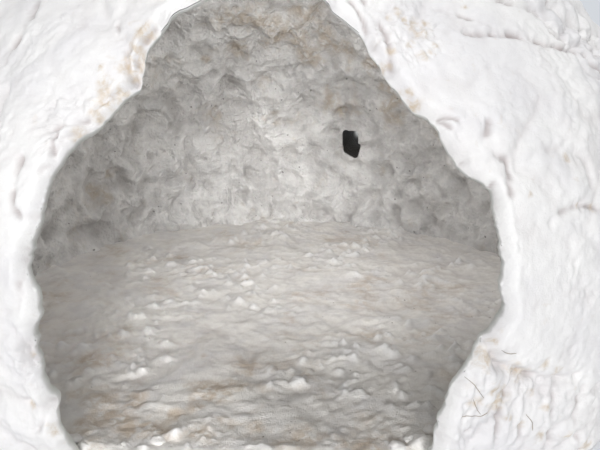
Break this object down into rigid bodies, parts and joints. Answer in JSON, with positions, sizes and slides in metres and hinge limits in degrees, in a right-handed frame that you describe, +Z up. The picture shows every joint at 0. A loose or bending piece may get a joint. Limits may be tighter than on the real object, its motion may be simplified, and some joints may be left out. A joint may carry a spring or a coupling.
{
  "type": "snow dome shelter (igloo)",
  "caption": "Hollow dome of big packed snow lumps with a wide pointed mouth, a small vent through the back wall and a trampled snow floor.",
  "frame": {"origin": "on the ground, on the axis of the dome", "axes": "+Z up, the mouth faces -Y, +X to the right as seen from in front of the mouth"},
  "size_m": [2.873, 2.8669, 1.675],
  "materials": {
    "packed_snow": "matt packed snow, white outside, greyer and stained inside and along the joints",
    "trampled_snow": "matt trampled snow, grey and brown with dirt"
  },
  "bodies": {
    "root": {"arch_keystone": "packed_snow", "base_back": "packed_snow", "base_left_front": "packed_snow", "base_left_jamb": "packed_snow", "base_left_rear": "packed_snow", "base_left_side": "packed_snow", "base_right_front": "packed_snow", "base_right_jamb": "packed_snow", "base_right_rear": "packed_snow", "base_right_side": "packed_snow", "crown_cap": "packed_snow", "fifth_front": "packed_snow", "fifth_left_front": "packed_snow", "fifth_left_rear": "packed_snow", "fifth_right_front": "packed_snow", "fifth_right_rear": "packed_snow", "fourth_back": "packed_snow", "fourth_left_front": "packed_snow", "fourth_left_rear": "packed_snow", "fourth_left_side": "packed_snow", "fourth_right_front": "packed_snow", "fourth_right_rear": "packed_snow", "fourth_right_side": "packed_snow", "second_back_left": "packed_snow", "second_back_right": "packed_snow", "second_left_front": "packed_snow", "second_left_jamb": "packed_snow", "second_left_rear": "packed_snow", "second_left_side": "packed_snow", "second_right_front": "packed_snow", "second_right_jamb": "packed_snow", "second_right_rear": "packed_snow", "second_right_side": "packed_snow", "snow_floor": "trampled_snow", "third_back": "packed_snow", "third_left_front": "packed_snow", "third_left_jamb": "packed_snow", "third_left_rear": "packed_snow", "third_left_side": "packed_snow", "third_right_front": "packed_snow", "third_right_jamb": "packed_snow", "third_right_rear": "packed_snow", "third_right_side": "packed_snow"}
  },
  "joints": []
}
